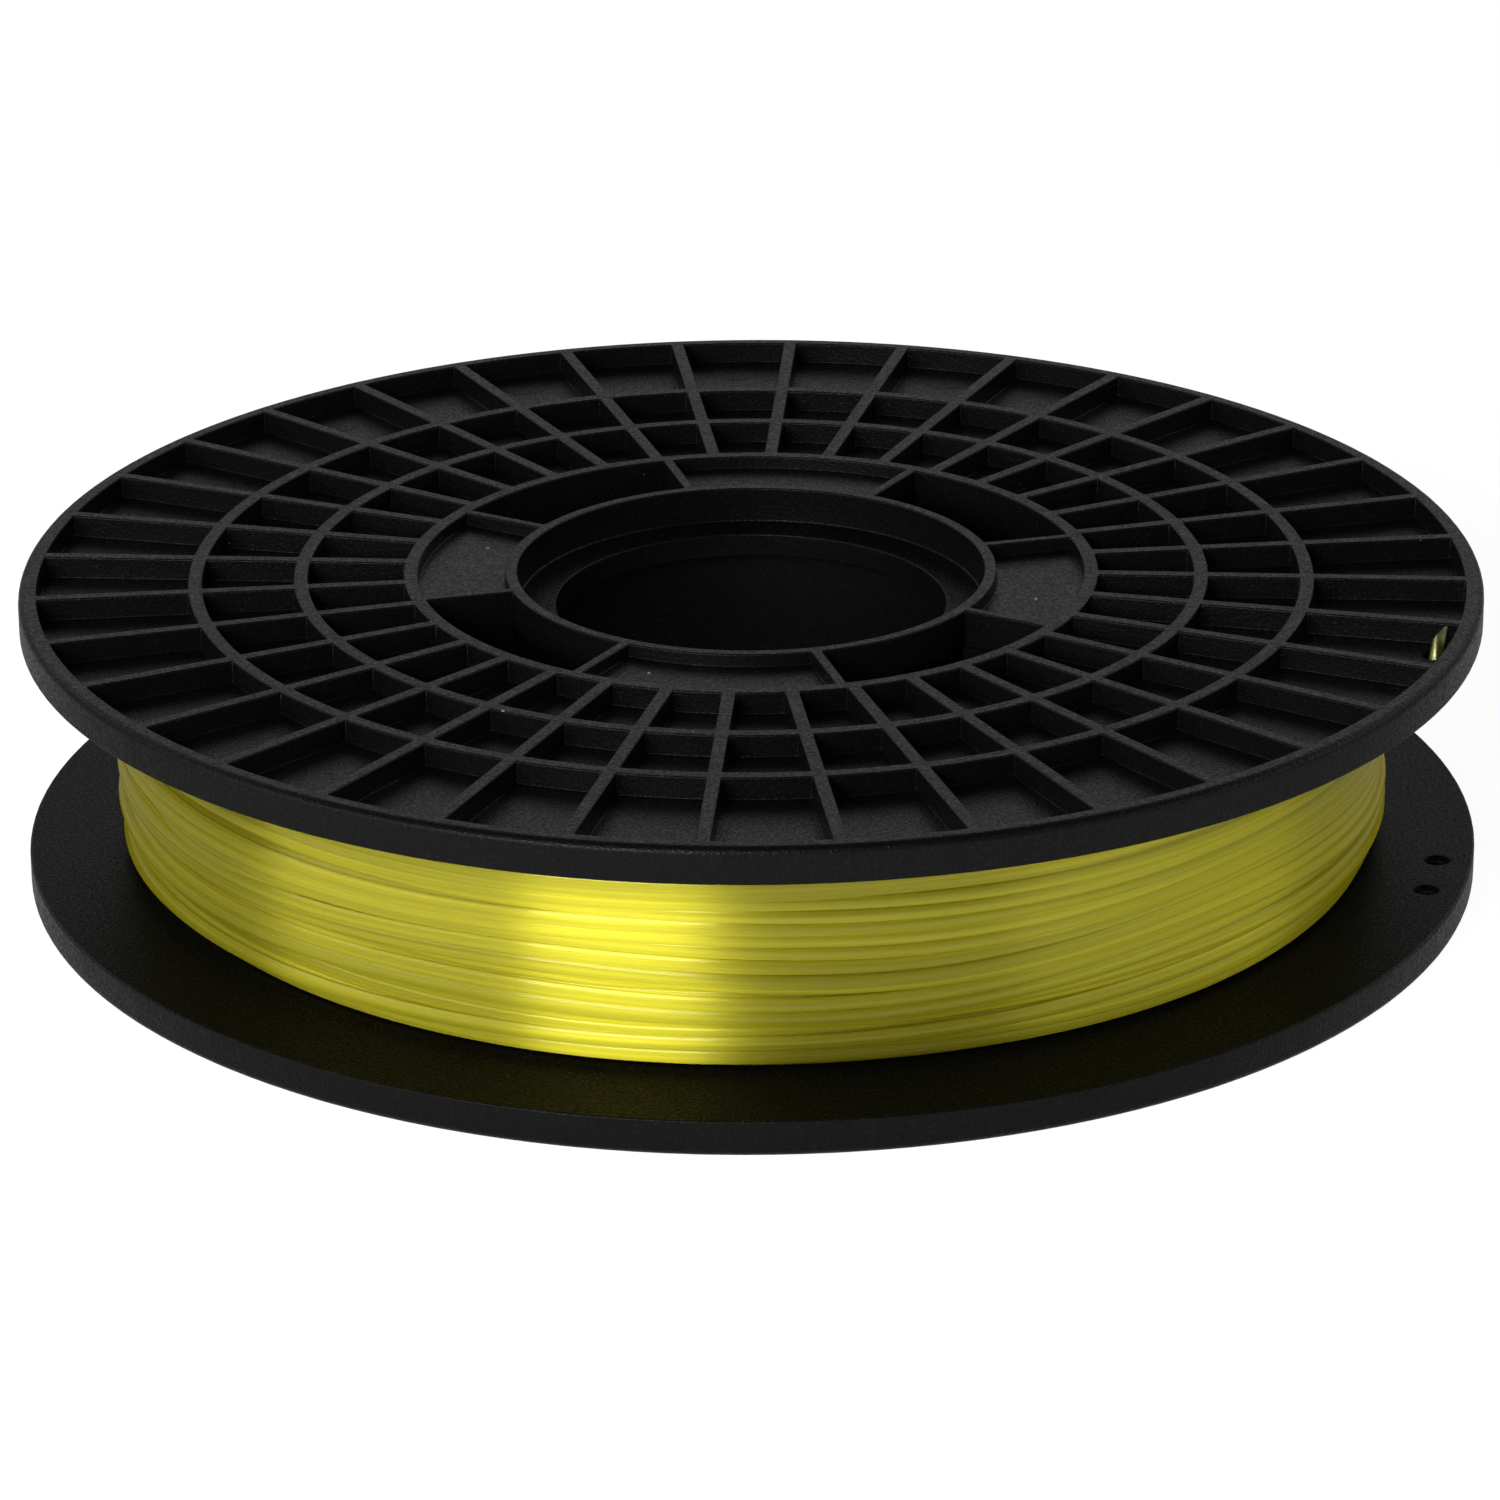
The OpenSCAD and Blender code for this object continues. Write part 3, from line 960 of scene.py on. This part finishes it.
def clear_string(c):
    """Stiff translucent yellow string, smooth with a soft shine.

    The tone is the mean of the streaks and the clouds along the string. Near the free end a grey
    painted shade is mixed in, standing for the black plastic seen through it.
    """
    name = "Yellow string"
    if name in bpy.data.materials:
        return bpy.data.materials[name]
    material = bpy.data.materials.new(name)
    tree = empty_tree(material)
    place = add_node(tree, "ShaderNodeUVMap", uv_map="Along").outputs[0]
    streaks = add_node(tree, "ShaderNodeGroup", {"Vector": place},
                       node_tree=drawn_streaks_group()).outputs
    tone = calculate(tree, "MULTIPLY", streaks["Streak"], 0.5)
    tone = calculate(tree, "MULTIPLY_ADD", streaks["Cloud"], 0.5, tone)
    body = mixed(tree, ramp(tree, tone, 0.35, 0.65), opaque(c.string), opaque(c.string_deep))
    # painted shade: the free end is painted greyer, as the black plastic behind it shows through the
    # string
    along = add_node(tree, "ShaderNodeSeparateXYZ", {0: place}).outputs["X"]
    body = mixed(tree, ramp(tree, along, 0.0, 6*MM), body, opaque(c.string_end))
    lengthwise = add_node(tree, "ShaderNodeTangent", direction_type="RADIAL", axis="Z")
    add_surface(tree, {
        "Base Color": body, "Metallic": 0.94, "Specular Tint": (0.65, 0.58, 0.25, 1.0),
        "Roughness": ramp(tree, streaks["Cloud"], 0.3, 0.7, 0.44, 0.52),
        "Normal": bumped(tree, streaks["Streak"], strength=0.5, distance=0.04*MM),
        # light spreads across the string, which runs round Z, and little along it
        "Tangent": lengthwise.outputs[0], "Anisotropic": 1.0, "Anisotropic Rotation": 0.25,
        "Coat Weight": 0.4, "Coat Roughness": 0.15,
        "Subsurface Weight": 0.8, "Subsurface Radius": (1.0, 0.9, 0.2), "Subsurface Scale": 3*MM})
    return material


# ---------------------------------------------------------------- stage


def area_light(name, place, size, power):
    """A soft white rectangular light at a place, turned towards the reel's middle."""
    data = bpy.data.lights.new(name, "AREA")
    data.shape = "RECTANGLE"
    data.size, data.size_y = size
    data.energy = power
    light = bpy.data.objects.new(name, data)
    light.location = place
    heading = Vector((0, 0, AIM_HEIGHT)) - Vector(place)
    light.rotation_euler = heading.to_track_quat("-Z", "Y").to_euler()
    bpy.context.scene.collection.objects.link(light)


def from_polar(distance, azimuth, elevation):
    """A place at this distance from the reel's middle, with both angles in degrees."""
    a, e = math.radians(azimuth), math.radians(elevation)
    return (distance*math.cos(e)*math.cos(a), distance*math.cos(e)*math.sin(a),
            distance*math.sin(e) + AIM_HEIGHT)


def new_camera(target, distance, elevation, roll, focal):
    """A camera that looks along +Y and down by elevation at the target, with angles in degrees.

    It stands at the target less the distance times its heading, turned by roll about it.
    """
    e, r = math.radians(elevation), math.radians(roll)
    target, heading = Vector(target), Vector((0, math.cos(e), -math.sin(e)))
    level, upright = Vector((1, 0, 0)), Vector((0, math.sin(e), math.cos(e)))
    right = level*math.cos(r) + upright*math.sin(r)
    up = upright*math.cos(r) - level*math.sin(r)
    data = bpy.data.cameras.new("camera")
    data.sensor_width = 36
    data.lens = focal
    data.clip_start, data.clip_end = 0.05, 30
    camera = bpy.data.objects.new("camera", data)
    turn = Matrix((right, up, -heading)).transposed().to_4x4()
    camera.matrix_world = Matrix.Translation(target - heading*distance) @ turn
    bpy.context.scene.collection.objects.link(camera)
    return camera


def seen_and_mirrored(tree):
    """Two numbers: 1 for rays from the camera, and 1 for rays that were mirrored or let through."""
    path = tree.nodes.new("ShaderNodeLightPath").outputs
    return path["Is Camera Ray"], calculate(
        tree, "MAXIMUM", path["Is Glossy Ray"], path["Is Transmission Ray"])


def white_sweep():
    """White backdrop behind the reel, a dimmer room and skyline and a dark ceiling.

    Its strength is the product of the ceiling's, the room's and the skyline's ramps, and less
    for light that was neither mirrored nor let through. The camera sees plain white all round.
    """
    world = bpy.data.worlds.new("white sweep")
    tree = empty_tree(world)
    place = add_node(tree, "ShaderNodeTexCoord").outputs["Generated"]
    heading = add_node(tree, "ShaderNodeSeparateXYZ", {0: place}).outputs
    ceiling = ramp(tree, heading["Z"], 0.45, 0.85, 1.0, 0.12, smooth=True)
    room = ramp(tree, heading["Y"], -0.3, 0.4, 0.3, 1.0, smooth=True)
    skyline = ramp(tree, heading["Z"], 0.12, 0.36, 0.1, 1.05, smooth=True)
    seen, mirrored = seen_and_mirrored(tree)
    strength = calculate(tree, "MULTIPLY_ADD", mirrored, 0.55, 0.45)
    for share in (ceiling, room, skyline):
        strength = calculate(tree, "MULTIPLY", strength, share)
    strength = calculate(tree, "MAXIMUM", strength, seen)
    light = add_node(tree, "ShaderNodeBackground", {"Strength": strength})
    add_node(tree, "ShaderNodeOutputWorld", {"Surface": light.outputs[0]})
    return world


def floor_finish(c):
    """Pale floor: what the camera sees is nearly its own white, and keeps the reel's shadow.

    Seen or mirrored, it is a faint matte grey plus a glow, and otherwise plain matte. The glow is
    the larger of 0.93 for the camera and, for mirrors, a ramp from front to back.
    """
    material = bpy.data.materials.new("Pale floor")
    tree = empty_tree(material)
    plain = add_node(tree, "ShaderNodeBsdfDiffuse", {"Color": opaque(c.floor)})
    faint = add_node(tree, "ShaderNodeBsdfDiffuse", {"Color": (0.30, 0.30, 0.30, 1.0)})
    # mirrored, the table is bright before the reel and dimmer beside and behind it
    place = add_node(tree, "ShaderNodeTexCoord").outputs["Object"]
    depth = add_node(tree, "ShaderNodeSeparateXYZ", {0: place}).outputs["Y"]
    near = ramp(tree, depth, -0.16, -0.02, 0.90, 0.3, smooth=True)
    seen, mirrored = seen_and_mirrored(tree)
    strength = calculate(tree, "MAXIMUM", near, calculate(tree, "MULTIPLY", seen, 0.93))
    glow = add_node(tree, "ShaderNodeEmission", {"Strength": strength})
    both = add_node(tree, "ShaderNodeAddShader", {0: faint.outputs[0], 1: glow.outputs[0]})
    choice = add_node(tree, "ShaderNodeMixShader", {
        0: calculate(tree, "MAXIMUM", seen, mirrored), 1: plain.outputs[0], 2: both.outputs[0]})
    add_node(tree, "ShaderNodeOutputMaterial", {"Surface": choice.outputs[0]})
    return material


class REEL_OT_stage(bpy.types.Operator):
    """Places the camera, the lights, the white world and the pale floor"""

    bl_idname = "reel.stage"
    bl_label = "Stage"

    def execute(self, context):
        scene = context.scene
        scene.view_settings.view_transform = "Standard"
        scene.camera = new_camera(
            target=(-0.00025, -0.0165, 0.0215), distance=0.87535, elevation=21.87, roll=-0.30,
            focal=154.58)
        area_light("key_softbox", from_polar(1.3, -113, 22), (0.70, 0.42), 10)
        area_light("left_panel", from_polar(1.4, -157, 18), (1.2, 0.5), 4.3)
        area_light("right_panel", from_polar(1.4, -14, 18), (1.6, 0.4), 2.2)
        scene.world = white_sweep()
        half = 6
        corners = [(-half, -half, 0), (half, -half, 0), (half, half, 0), (-half, half, 0)]
        floor = new_piece("floor", corners, [(0, 1, 2, 3)])
        floor.data.materials.append(floor_finish(scene.reel_colours))
        return {"FINISHED"}


class REEL_PT_panel(bpy.types.Panel):
    """Lists the steps that build the reel and the sizes they use"""

    bl_label = "String reel"
    bl_idname = "REEL_PT_panel"
    bl_space_type = "VIEW_3D"
    bl_region_type = "UI"
    bl_category = "Reel"

    def draw(self, context):
        layout = self.layout
        for step in STEPS:
            layout.operator(step.bl_idname)
        for group in (context.scene.reel_sizes, context.scene.string_sizes,
                      context.scene.reel_colours):
            box = layout.box()
            for key in group.__annotations__:
                box.prop(group, key)


STEPS = (REEL_OT_stage, REEL_OT_flanges, REEL_OT_marks, REEL_OT_barrel, REEL_OT_inner_string,
         REEL_OT_outer_string)
GROUPS = {"reel_sizes": ReelSizes, "string_sizes": StringSizes, "reel_colours": ReelColours}


def register():
    for group in GROUPS.values():
        bpy.utils.register_class(group)
    for key, group in GROUPS.items():
        setattr(bpy.types.Scene, key, PointerProperty(type=group))
    for step in STEPS:
        bpy.utils.register_class(step)
    bpy.utils.register_class(REEL_PT_panel)


def unregister():
    bpy.utils.unregister_class(REEL_PT_panel)
    for step in reversed(STEPS):
        bpy.utils.unregister_class(step)
    for key, group in GROUPS.items():
        delattr(bpy.types.Scene, key)
        bpy.utils.unregister_class(group)


def main():
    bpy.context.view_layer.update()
    register()
    for step in STEPS:
        area, action = step.bl_idname.split(".")
        getattr(getattr(bpy.ops, area), action)()


if __name__ == "__main__":
    main()
